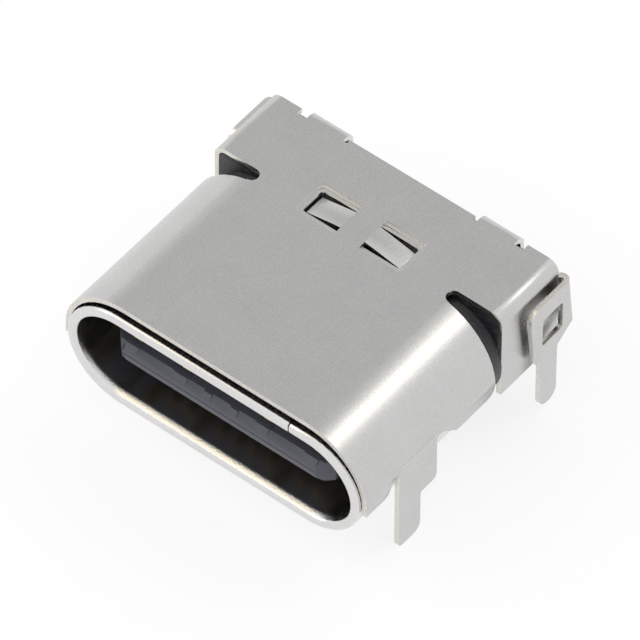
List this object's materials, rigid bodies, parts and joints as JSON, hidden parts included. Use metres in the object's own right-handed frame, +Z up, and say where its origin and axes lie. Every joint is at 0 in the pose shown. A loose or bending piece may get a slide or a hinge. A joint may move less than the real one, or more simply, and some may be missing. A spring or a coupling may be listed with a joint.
{
  "type": "usb-c socket",
  "caption": "Right-angle board socket with an oval mouth, a stamped metal outer shield with four solder legs, a seamed inner shell and a black contact tongue.",
  "frame": {"origin": "on the board's surface, below the middle of the mouth's lip", "axes": "+X across the mouth, +Y from the lip into the socket, +Z up from the board"},
  "size_m": [0.0094, 0.0084, 0.0045],
  "materials": {
    "shield_steel": "satin nickel plated, fine grain",
    "shell_steel": "bright nickel plated",
    "plate_steel": "plain stainless",
    "black_moulding": "black moulded, slight sheen",
    "contact_metal": "gold plated"
  },
  "bodies": {
    "root": {"outer_shield": "shield_steel", "inner_shell": "shell_steel", "rear_housing": "black_moulding", "upper_wafer": "black_moulding", "lower_wafer": "black_moulding", "mid_plate": "plate_steel", "upper_ground_plate": "plate_steel", "lower_ground_plate": "plate_steel", "contact_a01": "contact_metal", "contact_a02": "contact_metal", "contact_a03": "contact_metal", "contact_a04": "contact_metal", "contact_a05": "contact_metal", "contact_a06": "contact_metal", "contact_a07": "contact_metal", "contact_a08": "contact_metal", "contact_a09": "contact_metal", "contact_a10": "contact_metal", "contact_a11": "contact_metal", "contact_a12": "contact_metal", "contact_b01": "contact_metal", "contact_b02": "contact_metal", "contact_b03": "contact_metal", "contact_b04": "contact_metal", "contact_b05": "contact_metal", "contact_b06": "contact_metal", "contact_b07": "contact_metal", "contact_b08": "contact_metal", "contact_b09": "contact_metal", "contact_b10": "contact_metal", "contact_b11": "contact_metal", "contact_b12": "contact_metal"}
  },
  "joints": []
}
